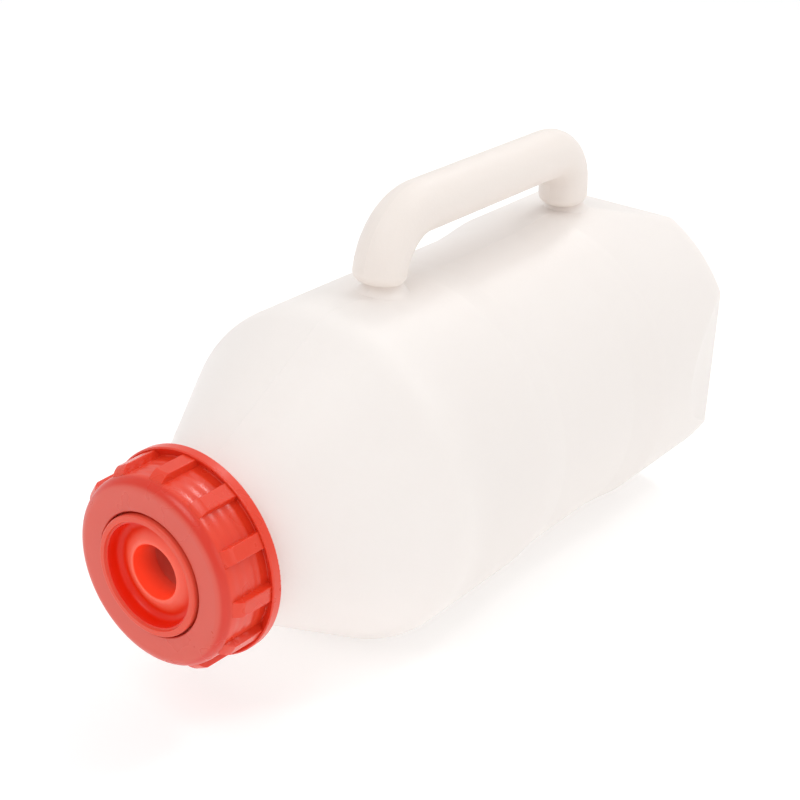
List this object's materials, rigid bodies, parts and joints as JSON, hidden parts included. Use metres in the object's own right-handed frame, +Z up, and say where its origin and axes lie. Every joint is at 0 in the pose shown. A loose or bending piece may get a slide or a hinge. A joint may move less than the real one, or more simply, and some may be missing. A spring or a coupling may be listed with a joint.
{
  "type": "calf feeding bottle",
  "caption": "Blow-moulded livestock feeding bottle with a carrying handle, closed by a ribbed screw collar that clamps a dished seat for a push-in teat.",
  "frame": {"origin": "on the ground, under the middle of the bottle as it lies on its side with the handle on top", "axes": "+X along the bottle from the collar to the base, +Z up on the handle side, +Y across"},
  "size_m": [0.2816, 0.1288, 0.1646],
  "materials": {
    "natural_plastic": "satin, milky, translucent",
    "red_plastic": "satin moulded",
    "orange_red_plastic": "satin moulded",
    "seal": "soft matt"
  },
  "bodies": {
    "bottle": {"bottle": "natural_plastic"},
    "seat": {"teat_seat": "orange_red_plastic", "gasket": "seal"},
    "collar": {"screw_collar": "red_plastic"}
  },
  "joints": [
    {"name": "closure_travel", "type": "slide", "parent": "bottle", "child": "seat", "axis": [-1, 0, 0], "range_m": [0, 0.0201]},
    {"name": "collar_turn", "type": "hinge", "parent": "seat", "child": "collar", "pos_m": [-0.11675, 0, 0.06445], "axis": [-1, 0, 0], "range_deg": [0, 1800]}
  ],
  "couplings": [
    {"joint": "closure_travel", "follows": "collar_turn", "m_per_rad": 0.00063662}
  ]
}
